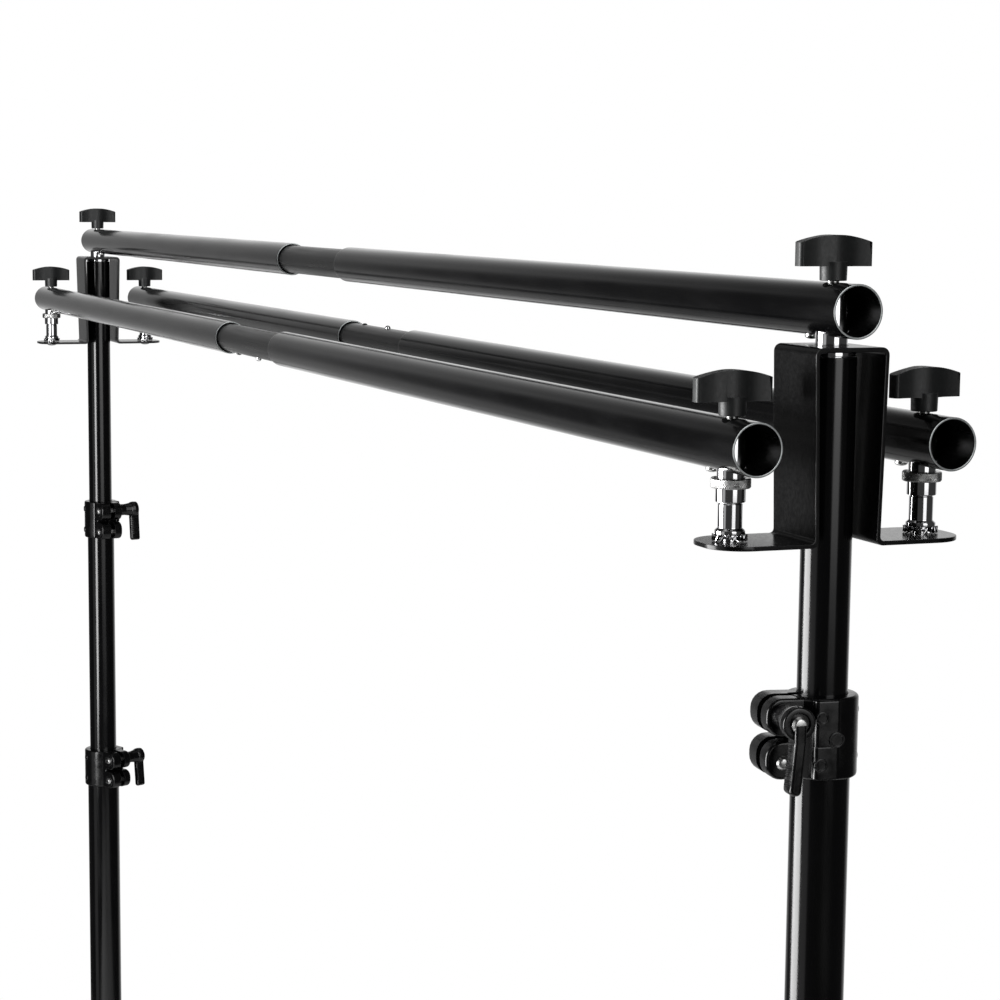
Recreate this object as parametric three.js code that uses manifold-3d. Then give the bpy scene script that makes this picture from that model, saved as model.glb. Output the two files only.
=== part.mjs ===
// Background support system: two tripod stands joined by three telescopic crossbars.
// Millimetres, +Z up. The origin is on the floor, midway between the stands.
// +X runs along the crossbars to the right-hand stand, and -Y is the front.
import * as THREE from 'three';
import { mergeVertices } from 'three/addons/utils/BufferGeometryUtils.js';
import Module from 'manifold-3d';

const wasm = await Module();
wasm.setup();

// ---- driving dimensions ------------------------------------------------------------------
const GAP = 0.4;                       // running clearance between neighbouring pieces
const STAND_X = 1120;                  // stand axis, from the middle of the system
const ROUND = 18;                      // facets round a tube
const SMALL_ROUND = 12;                // facets round a boss or a leg
const PIN_ROUND = 8;                   // facets round a bolt or its hole
const PIVOT_ROUND = 6;                 // facets round a leg pivot or its hole

const BAR = { radius: 17.5, wall: 1.5, topZ: 1800, sideZ: 1715, sideY: 69.6 };
const TOP_OVERHANG = 34;               // top bar's end beyond its stud
const SIDE_OVERHANG = 37;              // side bar's end beyond its stud
const EXPOSED = 208;                   // connector showing between the outer tubes
const CONNECTOR = { radius: 15, wall: 1.5, insertion: 450 };

const TOP_TUBE = { radius: 16.7, wall: 1.5, low: 840, high: 1770 };
const MID_TUBE = { radius: 19.5, wall: 1.5, length: 930 };
const BASE_TUBE = { radius: 23.2, wall: 1.8, low: 45, high: 1011 };
const CLAMP = { height: 54, shell: 4.3, leverSide: 14.7, farSide: 17.5, slot: 3.6, lobeGap: 1.5, lobe: 11 };
const CLAMP_PAD = { proud: 1.2, front: -14, back: 4 };     // flat on the lever side of the shell
const CLAMP_REACH = { bolt: 8.4, ears: 19.8 };             // beyond the shell, towards -Y
const CLAMP_BOLT = { rise: 15.5, cap: 4.6, head: 4.8, proud: 3 };
const LEVER = { neck: 8.5, head: 11, near: 32, headEnd: 42.5, far: 46, cap: 5.6 };
const HANDLE = { half: 4, top: 4, drop: 46, tilt: 3 };
const CLAMP_TURNS = { left: { lower: 116, upper: 103 }, right: { lower: -6, upper: -6 } };
const LEFT_UPPER_CLAMP_Z = 1388;       // middle of the clamp, and the end of the middle tube
const RIGHT_UPPER_CLAMP_Z = 1524;

const PLATE = 3;                       // bracket sheet
const HAT = { top: 1777.3, bottom: 1650.3, half: 26.5, lean: 3, length: 58, reach: 90, corner: 24, bend: 5 };
const STUD = { neck: 9.2, ring: 13, sleeve: 9.8, shank: 8, foot: 9.9, washer: 11.5, tenon: 4.6, rivet: 7 };
const STUD_HEIGHTS = { washer: 4.5, foot: 7, shank: 8.5, sleeve: 9, ring: 6.5 };
const STUD_RING_Z = 1687.6;
const SPIGOT = { neck: 10.5, flange: 16, plug: 14.8, plugDepth: 30 };
const BOLT = { radius: 4, hole: 4.6, depth: 14 };
const KNOB = { hub: 8.9, hubHeight: 9.7, width: 54, height: 20, endHeight: 15, thick: 9.5 };
const KNOB_TURNS = { left: { top: 8, front: 5, rear: 7 }, right: { top: 3, front: 1, rear: 8 } };

const LEG = { radius: 10, pivot: 40, lean: THREE.MathUtils.degToRad(52), brace: 292, pin: 3, pinHalf: 16 };
const HUB = { z: 70, height: 30 };
const COLLAR = { z: HUB.z + 2 * LEG.brace * Math.cos(LEG.lean), radius: 29.4, height: 40 };
const COLLAR_KNOB = { near: 7, far: 21, radius: 13, seat: 1.5 };
const EAR = { thick: 4, outer: 9, pin: 5 };
const CHANNEL = { inside: 20.6, sheet: 2.4, web: 12.7, lip: 7, setback: 20, play: 0.5 };
const FOOT = { radius: 13, length: 42, flat: 1.5 };

const FLOOR_DEPTH = 60;                // cutting block under the floor
const PAST = 1;                        // cutting tools reach this far past a face
const BITE = 1;                        // joined pieces reach this far into each other

// ---- materials -----------------------------------------------------------------------------
function finish(color, roughness, metalness) {
  return new THREE.MeshStandardMaterial({ color, roughness, metalness });
}
const glossBlack = finish(0x0c0c0d, 0.22, 0.1);
const satinBlack = finish(0x2a2a2d, 0.45, 0.2);
const castBlack = finish(0x0a0a0b, 0.28, 0.2);
const plastic = finish(0x1b1c1e, 0.6, 0);
const chrome = finish(0xd8d8da, 0.12, 1);

// ---- solids ----------------------------------------------------------------------------------
// A closed three.js geometry becomes a Manifold; a geometry that faces inward is turned round.
function solid(geometry) {
  const bare = geometry.index ? geometry.toNonIndexed() : geometry.clone();
  bare.deleteAttribute('normal');
  bare.deleteAttribute('uv');
  const merged = mergeVertices(bare, 1e-4);
  const points = merged.attributes.position.array;
  const faces = [];
  for (let i = 0; i < merged.index.count; i += 3) {
    const [a, b, c] = [0, 1, 2].map((k) => merged.index.getX(i + k));
    if (a !== b && b !== c && c !== a) faces.push(a, b, c);
  }
  if (signedVolume(points, faces) < 0) {
    for (let i = 0; i < faces.length; i += 3) [faces[i], faces[i + 1]] = [faces[i + 1], faces[i]];
  }
  const mesh = new wasm.Mesh({
    numProp: 3,
    vertProperties: new Float32Array(points),
    triVerts: new Uint32Array(faces),
  });
  return new wasm.Manifold(mesh);
}

function signedVolume(points, faces) {
  const corner = [new THREE.Vector3(), new THREE.Vector3(), new THREE.Vector3()];
  let volume = 0;
  for (let i = 0; i < faces.length; i += 3) {
    corner.forEach((v, k) => v.fromArray(points, 3 * faces[i + k]));
    volume += corner[0].dot(corner[1].clone().cross(corner[2])) / 6;
  }
  return volume;
}

const cut = (body, ...tools) => tools.reduce((rest, tool) => rest.subtract(tool), body);
const join = (body, ...others) => others.reduce((whole, other) => whole.add(other), body);

// Round rod between two points.
function rod(radius, from, to, facets = SMALL_ROUND) {
  const start = new THREE.Vector3(...from);
  const along = new THREE.Vector3(...to).sub(start);
  const geometry = new THREE.CylinderGeometry(radius, radius, along.length(), facets);
  geometry.translate(0, along.length() / 2, 0);
  geometry.applyQuaternion(new THREE.Quaternion().setFromUnitVectors(
    new THREE.Vector3(0, 1, 0), along.clone().normalize()));
  geometry.translate(...start.toArray());
  return solid(geometry);
}

// Solid of revolution about Z from [radius, z] points; it starts and ends on the axis.
function turned(profile, facets = ROUND) {
  const points = profile.map(([r, z]) => new THREE.Vector2(r, z));
  return solid(new THREE.LatheGeometry(points, facets).rotateX(Math.PI / 2));
}

// Pipe along Z: a closed rectangle turned about the axis.
function pipe(radius, wall, low, high) {
  const inside = radius - wall;
  const loop = [[inside, low], [radius, low], [radius, high], [inside, high], [inside, low]];
  return turned(loop);
}

function box(x0, x1, y0, y1, z0, z1) {
  const geometry = new THREE.BoxGeometry(x1 - x0, y1 - y0, z1 - z0);
  return solid(geometry.translate((x0 + x1) / 2, (y0 + y1) / 2, (z0 + z1) / 2));
}

// Outline with round corners, from [x, y, radius] points.
function rounded(corners) {
  const shape = new THREE.Shape();
  corners.forEach(([x, y, radius], i) => {
    const here = new THREE.Vector2(x, y);
    const before = corners.at(i - 1);
    const after = corners[(i + 1) % corners.length];
    const back = new THREE.Vector2(before[0], before[1]).sub(here).normalize();
    const ahead = new THREE.Vector2(after[0], after[1]).sub(here).normalize();
    const trim = radius / Math.tan(back.angleTo(ahead) / 2);
    const start = here.clone().addScaledVector(back, trim);
    const end = here.clone().addScaledVector(ahead, trim);
    if (i === 0) shape.moveTo(start.x, start.y);
    else shape.lineTo(start.x, start.y);
    if (radius > 0) shape.quadraticCurveTo(x, y, end.x, end.y);
  });
  shape.closePath();
  return shape;
}

// Outline in X and Y, pushed up from z0 to z1.
function pushUp(shape, z0, z1, steps = 3) {
  const options = { depth: z1 - z0, bevelEnabled: false, curveSegments: steps };
  return solid(new THREE.ExtrudeGeometry(shape, options).translate(0, 0, z0));
}

// Outline in Y and Z, pushed along X from x0 to x1.
function pushAlongX(shape, x0, x1, steps = 2) {
  const options = { depth: x1 - x0, bevelEnabled: false, curveSegments: steps };
  const geometry = new THREE.ExtrudeGeometry(shape, options);
  geometry.rotateX(Math.PI / 2).rotateZ(Math.PI / 2).translate(x0, 0, 0);
  return solid(geometry);
}

// ---- scene graph -------------------------------------------------------------------------------
const system = new THREE.Group();

function place(parent, name, body, material) {
  const data = body.getMesh();
  const geometry = new THREE.BufferGeometry();
  geometry.setAttribute('position', new THREE.BufferAttribute(new Float32Array(data.vertProperties), 3));
  geometry.setIndex(new THREE.BufferAttribute(new Uint32Array(data.triVerts), 1));
  geometry.computeVertexNormals();
  const mesh = new THREE.Mesh(geometry, material);
  mesh.name = name;
  parent.add(mesh);
  return mesh;
}

// ---- crossbars ---------------------------------------------------------------------------------
// Outer tube along X, its outer end at `end`, with a stud hole below and a bolt hole above.
function outerTube(side, overhang, neck) {
  const end = STAND_X + overhang;
  const tube = pipe(BAR.radius, BAR.wall, EXPOSED / 2, end).rotate([0, 90 * side, 0]);
  const studHole = rod(neck + GAP, [side * STAND_X, 0, -BAR.radius - PAST], [side * STAND_X, 0, 0]);
  const boltHole = rod(BOLT.hole, [side * STAND_X, 0, 0], [side * STAND_X, 0, BAR.radius + PAST]);
  return cut(tube, studHole, boltHole);
}

function connectorTube() {
  const half = EXPOSED / 2 + CONNECTOR.insertion;
  return pipe(CONNECTOR.radius, CONNECTOR.wall, -half, half).rotate([0, 90, 0]);
}

// T-knob: an arched cross handle on a round hub, with its bolt going down from the hub.
function knob(barRadius) {
  const seat = barRadius + GAP;
  const under = seat + KNOB.hubHeight;
  const half = KNOB.width / 2;
  const outline = new THREE.Shape();
  outline.moveTo(-half, under);
  outline.lineTo(half, under);
  outline.lineTo(half, under + KNOB.endHeight);
  outline.quadraticCurveTo(0, under + 2 * KNOB.height - KNOB.endHeight, -half, under + KNOB.endHeight);
  outline.closePath();
  const handle = pushAlongX(outline, -KNOB.thick / 2, KNOB.thick / 2, 8);
  const hub = rod(KNOB.hub, [0, 0, seat], [0, 0, under + BITE]);
  const bolt = rod(BOLT.radius, [0, 0, 0], [0, 0, seat + BITE], PIN_ROUND);
  return join(handle, hub, bolt);
}

// ---- bracket and studs ---------------------------------------------------------------------------
// Hat-section bracket folded from one sheet: top plate, two wings that lean in a little, two tabs.
function bracket() {
  const { top, bottom, half, lean, length, reach, corner, bend } = HAT;
  const inner = bend - PLATE + 1;
  const low = bottom + PLATE;
  const foot = half - lean;
  const profile = rounded([
    [-reach, bottom, 0], [-foot + PLATE, bottom, bend], [-half + PLATE, top - PLATE, inner],
    [half - PLATE, top - PLATE, inner], [foot - PLATE, bottom, bend], [reach, bottom, 0],
    [reach, low, 0], [foot, low, inner], [half, top, bend],
    [-half, top, bend], [-foot, low, inner], [-reach, low, 0],
  ]);
  const plan = rounded([
    [-length / 2, -reach, corner], [length / 2, -reach, corner],
    [length / 2, reach, corner], [-length / 2, reach, corner],
  ]);
  const folded = pushAlongX(profile, -length / 2, length / 2);
  const spigotHole = rod(SPIGOT.neck + GAP, [0, 0, top - 2 * PLATE], [0, 0, top + PLATE]);
  const studHoles = [-BAR.sideY, BAR.sideY].map((y) => rod(
    STUD.tenon + GAP, [0, y, bottom - PLATE], [0, y, low + PLATE], PIN_ROUND));
  return cut(folded.intersect(pushUp(plan, bottom - PLATE, top + PLATE, 4)), spigotHole, ...studHoles);
}

// Height of a neck's tip where it nearly meets the inside of a bar.
function tipUnder(axisZ, neck) {
  const inside = (BAR.radius - BAR.wall) * Math.cos(Math.PI / ROUND);
  return axisZ + Math.sqrt(inside ** 2 - neck ** 2) - PAST;
}

// Spigot: plug and flange on the stand's top tube, and the neck that the top bar sits on.
function spigot() {
  const underside = HAT.top - PLATE - GAP;
  const tip = tipUnder(BAR.topZ, SPIGOT.neck);
  const body = turned([
    [0, TOP_TUBE.high - SPIGOT.plugDepth], [SPIGOT.plug, TOP_TUBE.high - SPIGOT.plugDepth],
    [SPIGOT.plug, TOP_TUBE.high + GAP], [SPIGOT.flange, TOP_TUBE.high + GAP],
    [SPIGOT.flange, underside], [SPIGOT.neck, underside], [SPIGOT.neck, tip], [0, tip],
  ]);
  return cut(body, boltHoleIn(tip));
}

// Blind hole down from the tip of a neck, for a knob's bolt.
function boltHoleIn(tip) {
  return rod(BOLT.hole, [0, 0, tip - BOLT.depth], [0, 0, tip + PAST], PIN_ROUND);
}

// Side stud: riveted through the tab, with lock washer, low foot, sleeve, knurled ring and neck.
function stud() {
  const seat = HAT.bottom + PLATE + GAP;
  const tip = tipUnder(BAR.sideZ, STUD.neck);
  const rivet = HAT.bottom - GAP;
  const { washer, foot, shank, sleeve, ring } = STUD_HEIGHTS;
  const collar = STUD_RING_Z - sleeve;
  const body = turned([
    [0, rivet - 3], [STUD.rivet - 2, rivet - 2.5], [STUD.rivet, rivet - 1], [STUD.rivet, rivet],
    [STUD.tenon, rivet], [STUD.tenon, seat], [STUD.washer, seat], [STUD.washer, seat + washer],
    [STUD.foot, seat + washer], [STUD.foot, seat + foot], [STUD.shank, seat + shank],
    [STUD.shank, collar], [STUD.sleeve, collar], [STUD.sleeve, STUD_RING_Z], [STUD.ring, STUD_RING_Z],
    [STUD.ring, STUD_RING_Z + ring], [STUD.neck, STUD_RING_Z + ring], [STUD.neck, tip], [0, tip],
  ], SMALL_ROUND);
  return cut(body, boltHoleIn(tip));
}

// ---- clamps -----------------------------------------------------------------------------------------
// Split casting round the joint of two tubes: a shell with a flat pad on its lever side, and two pairs
// of ears towards -Y. The lower ears are bolted to the lower tube; the lever tightens the upper ears.
function clamp(lowerRadius, upperRadius, z) {
  const { height, shell, leverSide, farSide, slot, lobeGap, lobe } = CLAMP;
  const { rise, cap, head, proud } = CLAMP_BOLT;
  const outer = lowerRadius + shell;
  const earEnd = outer + CLAMP_REACH.ears;
  const [low, high] = [z - height / 2, z + height / 2];
  const barrel = rod(outer, [0, 0, low], [0, 0, high], ROUND);
  const pad = box(0, outer + CLAMP_PAD.proud, CLAMP_PAD.front, CLAMP_PAD.back, low, high);
  const outline = rounded([
    [0, low, 0], [0, high, 0], [-earEnd, high, lobe], [-earEnd, z + lobeGap, lobe],
    [-outer - BITE, z + lobeGap, 0], [-outer - BITE, z - lobeGap, 0],
    [-earEnd, z - lobeGap, lobe], [-earEnd, low, lobe],
  ]);
  const ears = pushAlongX(outline, -farSide, leverSide);
  const split = box(-slot, slot, -earEnd - PAST, -PAST, low - PAST, high + PAST);
  const lowerBore = rod(lowerRadius + GAP, [0, 0, low - PAST], [0, 0, z], ROUND);
  const upperBore = rod(upperRadius + GAP, [0, 0, z - PAST], [0, 0, high + PAST], ROUND);
  const across = alongX(-outer - CLAMP_REACH.bolt, PIN_ROUND);
  const leverHole = across(BOLT.hole, -farSide - PAST, leverSide + PAST, z + rise);
  const body = cut(join(barrel, pad, ears), split, lowerBore, upperBore, leverHole);
  return join(body, across(BOLT.radius, -farSide, leverSide, z - rise),
    across(head, -farSide - proud, -farSide + BITE, z - rise),
    across(cap, leverSide - BITE, leverSide + proud, z - rise));
}

// Maker of rods along X at one place in Y.
function alongX(y, facets) {
  return (radius, from, to, z) => rod(radius, [from, y, z], [to, y, z], facets);
}

// Lever with its bolt: a neck and a round head on the near ear, and a handle hanging from the head.
function lever(lowerRadius, z) {
  const { neck, head, near, headEnd, far, cap } = LEVER;
  const { half, top, drop, tilt } = HANDLE;
  const y = -lowerRadius - CLAMP.shell - CLAMP_REACH.bolt;
  const pivot = z + CLAMP_BOLT.rise;
  const face = CLAMP.leverSide + GAP;
  const back = -CLAMP.farSide - GAP;
  const outline = rounded([
    [y - half, pivot - top, 0], [y - half - tilt, pivot - drop, 3],
    [y + half - tilt, pivot - drop, 3], [y + half, pivot - top, 0],
  ]);
  const pin = alongX(y, PIN_ROUND);
  const boss = alongX(y, SMALL_ROUND);
  return join(boss(neck, face, near + BITE, pivot), boss(head, near, headEnd, pivot),
    pushAlongX(outline, near, far, 2), pin(BOLT.radius, back - BITE, face + BITE, pivot),
    pin(CLAMP_BOLT.head, back - CLAMP_BOLT.proud, back, pivot),
    pin(cap, headEnd - BITE, headEnd + CLAMP_BOLT.proud, pivot));
}

// ---- legs ----------------------------------------------------------------------------------------------
// A pair of ears standing out along +X from a ring, with a hole for the pivot pin.
function earPair(inside, z, hole) {
  const pairs = [-1, 1].map((side) => {
    const near = side * inside / 2;
    const far = side * (inside / 2 + EAR.thick);
    const [y0, y1] = [Math.min(near, far), Math.max(near, far)];
    const outline = new THREE.Shape();
    outline.moveTo(COLLAR.radius - 5, z - EAR.outer);
    outline.absarc(LEG.pivot, z, EAR.outer, -Math.PI / 2, Math.PI / 2);
    outline.lineTo(COLLAR.radius - 5, z + EAR.outer);
    const ear = pushAlongX(outline, -y1, -y0, 3).rotate([0, 0, -90]);
    const tool = (radius, from, to) => rod(
      radius, [LEG.pivot, from, z], [LEG.pivot, to, z], PIVOT_ROUND);
    if (hole) return cut(ear, tool(pivotHole, y0 - PAST, y1 + PAST));
    return join(ear, tool(EAR.pin, near, far + side * 2 * PAST));
  });
  return join(...pairs);
}

function ringWithEars(z, height, inside, hole, turns) {
  const ring = rod(COLLAR.radius, [0, 0, z - height / 2], [0, 0, z + height / 2], ROUND);
  const ears = turns.map((turn) => earPair(inside, z, hole).rotate([0, 0, turn]));
  const bore = rod(BASE_TUBE.radius + GAP, [0, 0, z - height], [0, 0, z + height], ROUND);
  return cut(join(ring, ...ears), bore);
}

// A point of the leg's middle line, in the leg's own X-Z plane.
const alongLeg = (distance) => [
  LEG.pivot + distance * Math.sin(LEG.lean), 0, COLLAR.z - distance * Math.cos(LEG.lean)];
const pivotHole = (LEG.pin + GAP) / Math.cos(Math.PI / PIVOT_ROUND);   // clears the pin's corners
const legLength = (COLLAR.z - FOOT.radius + FOOT.flat) / Math.cos(LEG.lean);
const leanDegrees = THREE.MathUtils.radToDeg(LEG.lean);

// Tube with a round head at the collar, and a rubber foot that rests flat on the floor.
function leg() {
  const dome = (radius, turn) => [radius * Math.cos(turn), radius * Math.sin(turn)];
  const head = [-90, -45, 0].map((turn) => dome(LEG.radius, THREE.MathUtils.degToRad(turn)));
  const toe = [0, 30, 60, 90].map((turn) => dome(FOOT.radius, THREE.MathUtils.degToRad(turn)))
    .map(([radius, along]) => [radius, legLength + along]);
  const cap = [[LEG.radius, legLength - FOOT.length], [FOOT.radius, legLength - FOOT.length]];
  const upright = turned([...head, ...cap, ...toe], SMALL_ROUND);
  const tube = upright.rotate([0, 180 - leanDegrees, 0]).translate([LEG.pivot, 0, COLLAR.z]);
  const pins = [alongLeg(0), alongLeg(LEG.brace)].map(([x, , z]) => rod(
    LEG.pin, [x, -LEG.pinHalf, z], [x, LEG.pinHalf, z], PIVOT_ROUND));
  const below = box(0, 2 * legLength, -2 * FOOT.radius, 2 * FOOT.radius, -FLOOR_DEPTH, 0);
  return cut(join(tube, ...pins), below);
}

// Brace: a pressed channel from the leg's second pin down to the lower hub.
function brace() {
  const { inside, sheet, web, lip, setback } = CHANNEL;
  const outside = inside / 2 + sheet;
  const flange = rounded([
    [-web, -lip, 3], [lip, -lip, 6], [lip, LEG.brace + lip, 6], [-web, LEG.brace + lip, 3],
  ]);
  const blank = pushAlongX(flange, -outside, outside);
  const clear = (front, from, to) => box(-inside / 2, inside / 2, front, web, from, to);
  const nest = clear(-web + sheet, -setback, LEG.brace + setback);
  const ends = [clear(-web - PAST, -setback, setback),
    clear(-web - PAST, LEG.brace - setback, LEG.brace + setback)];
  const holes = [0, LEG.brace].map((z) => rod(
    pivotHole, [-outside - PAST, 0, z], [outside + PAST, 0, z], PIVOT_ROUND));
  const upright = cut(blank, nest, ...ends, ...holes);
  return upright.rotate([0, 0, -90]).rotate([0, leanDegrees, 0]).translate([LEG.pivot, 0, HUB.z]);
}

// Lock knob of the leg collar, midway between two legs.
function collarKnob() {
  const { near, far, radius, seat } = COLLAR_KNOB;
  const along = (size, from, to) => rod(
    size, [COLLAR.radius + from, 0, COLLAR.z], [COLLAR.radius + to, 0, COLLAR.z], PIN_ROUND);
  return join(along(BOLT.radius, -seat, near + BITE), along(radius, near, far));
}

// ---- one stand -------------------------------------------------------------------------------------------
function stand(name, side, clampZ) {
  const group = new THREE.Group();
  group.position.x = side * STAND_X;
  system.add(group);
  const label = (piece) => `${name}_${piece}`;
  const facing = side > 0 ? 0 : 180;
  const legTurns = [0, 120, 240].map((turn) => turn + facing);
  const midTube = pipe(MID_TUBE.radius, MID_TUBE.wall, clampZ - MID_TUBE.length, clampZ - GAP);
  const baseTube = pipe(BASE_TUBE.radius, BASE_TUBE.wall, BASE_TUBE.low, BASE_TUBE.high - GAP);
  const screwHole = rod(BOLT.hole, [20, 0, COLLAR.z], [40, 0, COLLAR.z], PIN_ROUND);
  const knobTurn = side > 0 ? -60 : -120;
  const collar = ringWithEars(COLLAR.z, COLLAR.height, CHANNEL.inside, true, legTurns);
  const aroundBrace = CHANNEL.inside + 2 * (CHANNEL.sheet + CHANNEL.play);
  const hub = ringWithEars(HUB.z, HUB.height, aroundBrace, false, legTurns);

  place(group, label('base_tube'), baseTube, glossBlack);
  place(group, label('mid_tube'), midTube, glossBlack);
  place(group, label('top_tube'),
    pipe(TOP_TUBE.radius, TOP_TUBE.wall, TOP_TUBE.low, TOP_TUBE.high), glossBlack);
  place(group, label('lower_hub'), hub, castBlack);
  place(group, label('leg_collar'), cut(collar, screwHole.rotate([0, 0, knobTurn])), castBlack);
  place(group, label('collar_knob'), collarKnob().rotate([0, 0, knobTurn]), plastic);
  legTurns.forEach((turn, i) => {
    place(group, label(`leg_${i + 1}`), leg().rotate([0, 0, turn]), glossBlack);
    place(group, label(`brace_${i + 1}`), brace().rotate([0, 0, turn]), glossBlack);
  });
  const joints = [
    ['lower', BASE_TUBE.radius, MID_TUBE.radius, BASE_TUBE.high],
    ['upper', MID_TUBE.radius, TOP_TUBE.radius, clampZ],
  ];
  joints.forEach(([level, lower, upper, z]) => {
    const turn = [0, 0, CLAMP_TURNS[name][level]];
    place(group, label(`${level}_clamp`), clamp(lower, upper, z).rotate(turn), castBlack);
    place(group, label(`${level}_lever`), lever(lower, z).rotate(turn), castBlack);
  });
  place(group, label('bracket'), bracket(), satinBlack);
  place(group, label('spigot'), spigot(), chrome);
  place(group, label('front_stud'), stud().translate([0, -BAR.sideY, 0]), chrome);
  place(group, label('rear_stud'), stud().translate([0, BAR.sideY, 0]), chrome);
}

// ---- one crossbar -----------------------------------------------------------------------------------------
function crossbar(name, y, z, overhang, neck) {
  const group = new THREE.Group();
  group.position.set(0, y, z);
  system.add(group);
  place(group, `${name}_bar_left_tube`, outerTube(-1, overhang, neck), glossBlack);
  place(group, `${name}_bar_connector`, connectorTube(), glossBlack);
  place(group, `${name}_bar_right_tube`, outerTube(1, overhang, neck), glossBlack);
  [['left', -STAND_X], ['right', STAND_X]].forEach(([end, x]) => {
    const turnedKnob = knob(BAR.radius).rotate([0, 0, KNOB_TURNS[end][name]]);
    place(group, `${name}_bar_${end}_knob`, turnedKnob, plastic).position.x = x;
  });
}

stand('left', -1, LEFT_UPPER_CLAMP_Z);
stand('right', 1, RIGHT_UPPER_CLAMP_Z);
crossbar('top', 0, BAR.topZ, TOP_OVERHANG, SPIGOT.neck);
crossbar('front', -BAR.sideY, BAR.sideZ, SIDE_OVERHANG, STUD.neck);
crossbar('rear', BAR.sideY, BAR.sideZ, SIDE_OVERHANG, STUD.neck);

export default system;
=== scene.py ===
"""Background support system: two tripod stands joined by three telescopic crossbars.

Sizes are in millimetres, as in the model, and every vertex and place is written in metres.
"""

import math

import bmesh
import bpy
from mathutils import Matrix, Vector


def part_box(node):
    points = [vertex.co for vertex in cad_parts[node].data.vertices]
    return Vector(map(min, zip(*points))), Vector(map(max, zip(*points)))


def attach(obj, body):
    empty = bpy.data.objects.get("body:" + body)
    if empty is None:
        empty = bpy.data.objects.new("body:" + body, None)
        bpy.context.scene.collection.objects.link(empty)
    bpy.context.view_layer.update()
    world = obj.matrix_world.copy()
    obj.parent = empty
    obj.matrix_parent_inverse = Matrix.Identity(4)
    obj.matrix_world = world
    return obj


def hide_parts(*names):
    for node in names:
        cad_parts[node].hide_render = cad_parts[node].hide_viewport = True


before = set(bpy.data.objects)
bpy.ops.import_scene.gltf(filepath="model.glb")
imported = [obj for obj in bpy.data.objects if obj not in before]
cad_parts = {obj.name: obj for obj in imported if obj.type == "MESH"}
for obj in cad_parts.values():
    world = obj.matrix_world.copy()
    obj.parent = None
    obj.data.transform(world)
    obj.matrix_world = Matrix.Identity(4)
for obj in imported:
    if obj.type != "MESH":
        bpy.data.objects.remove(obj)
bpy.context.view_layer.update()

MM = 0.001
SIDES = {"left": -1, "right": 1}

# ---- driving dimensions, the model's own ----
GAP = 0.4  # clearance between neighbours
PAST = 5  # how far a cutting tool runs past what it cuts
TINY = 1e-6
CORNERS = ((-1, -1), (1, -1), (1, 1), (-1, 1))
STAND_X = (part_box("right_spigot")[0].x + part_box("right_spigot")[1].x) / 2 / MM
BAR_RADIUS, BAR_WALL, EXPOSED = 17.5, 1.5, 208
BARE_END, HOLE_MARGIN = 4, 22
CONNECTOR_RADIUS, CONNECTOR_WALL, INSERTION = 15, 1.5, 450
BUTTONS_X = {"snap_button": 18, "stop_button": -61}
RIVET_INBOARD = 27
BOLT_RADIUS, BOLT_HOLE = 4, 4.6
SPIGOT = {"neck": 10.5, "flange": 16, "plug": 14.8, "low": 1740}
STUD = {"neck": 9.2, "ring": 13, "sleeve": 9.8, "shank": 8, "foot": 9.9, "tenon": 4.6, "rivet": 7}
SIDE_Y, SIDE_Z = 69.6, 1715
BARS = {
    "top": {"y": 0, "z": 1800, "overhang": 34, "neck": SPIGOT["neck"], "button_turn": -120},
    "front": {"y": -SIDE_Y, "z": SIDE_Z, "overhang": 37, "neck": STUD["neck"], "button_turn": 170},
    "rear": {"y": SIDE_Y, "z": SIDE_Z, "overhang": 37, "neck": STUD["neck"], "button_turn": 0},
}
KNOB_TURN = {"left": {"top": 8, "front": 5, "rear": 7}, "right": {"top": 3, "front": 1, "rear": 8}}
KNOB_WIDTH, HUB_RADIUS, HUB_HEIGHT = 54, 8.7, 9.7
KNOB_UNDER = BAR_RADIUS + GAP + HUB_HEIGHT
TUBES = {
    "base": {"radius": 23.2, "wall": 1.8, "low": 45, "high": 1010.6},
    "mid": {"radius": 19.5, "wall": 1.5, "length": 930},
    "top": {"radius": 16.7, "wall": 1.5, "low": 840, "high": 1770},
}
CLAMP_Z = {"lower": {"left": 1011, "right": 1011}, "upper": {"left": 1388, "right": 1524}}
CLAMP_TURN = {"lower": {"left": 116, "right": -6}, "upper": {"left": 103, "right": -6}}
CLAMP_HEIGHT, SHELL, LEVER_SIDE, FAR_SIDE, SLOT = 54, 4.3, 14.7, 17.5, 3.6
EAR_REACH, EAR_LOBE, EAR_GAP, BOLT_REACH, BOLT_RISE = 19.8, 11, 1.5, 8.4, 15.5
LEVER_NEAR, HEAD_END, LEVER_FAR, LEVER_DROP = 32, 42.5, 46, 46
PLATE, HAT_TOP, HAT_BOTTOM, HAT_HALF, HAT_LEAN, HAT_LENGTH, HAT_REACH = 3, 1777.3, 1650.3, 26.5, 3, 58, 90
TAB_TOP = HAT_BOTTOM + PLATE
STUD_RING_Z = 1687.6
LEAN, BRACE, PIVOT, HUB_Z = math.radians(52), 292, 40, 70
COLLAR_Z = HUB_Z + 2 * BRACE * math.cos(LEAN)
COLLAR_RADIUS, COLLAR_HEIGHT, HUB_RING_HEIGHT, EAR_THICK, EAR_END = 29.4, 40, 30, 4, 9
LEG_RADIUS, FOOT_RADIUS, FOOT_LENGTH, FOOT_FLAT = 10, 13, 42, 1.5
LEG_LENGTH = (COLLAR_Z - FOOT_RADIUS + FOOT_FLAT) / math.cos(LEAN)
CHANNEL_INSIDE, CHANNEL_SHEET = 20.6, 2.4
COLLAR_KNOB_NEAR, COLLAR_KNOB_FAR = COLLAR_RADIUS + 7, COLLAR_RADIUS + 21


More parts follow.
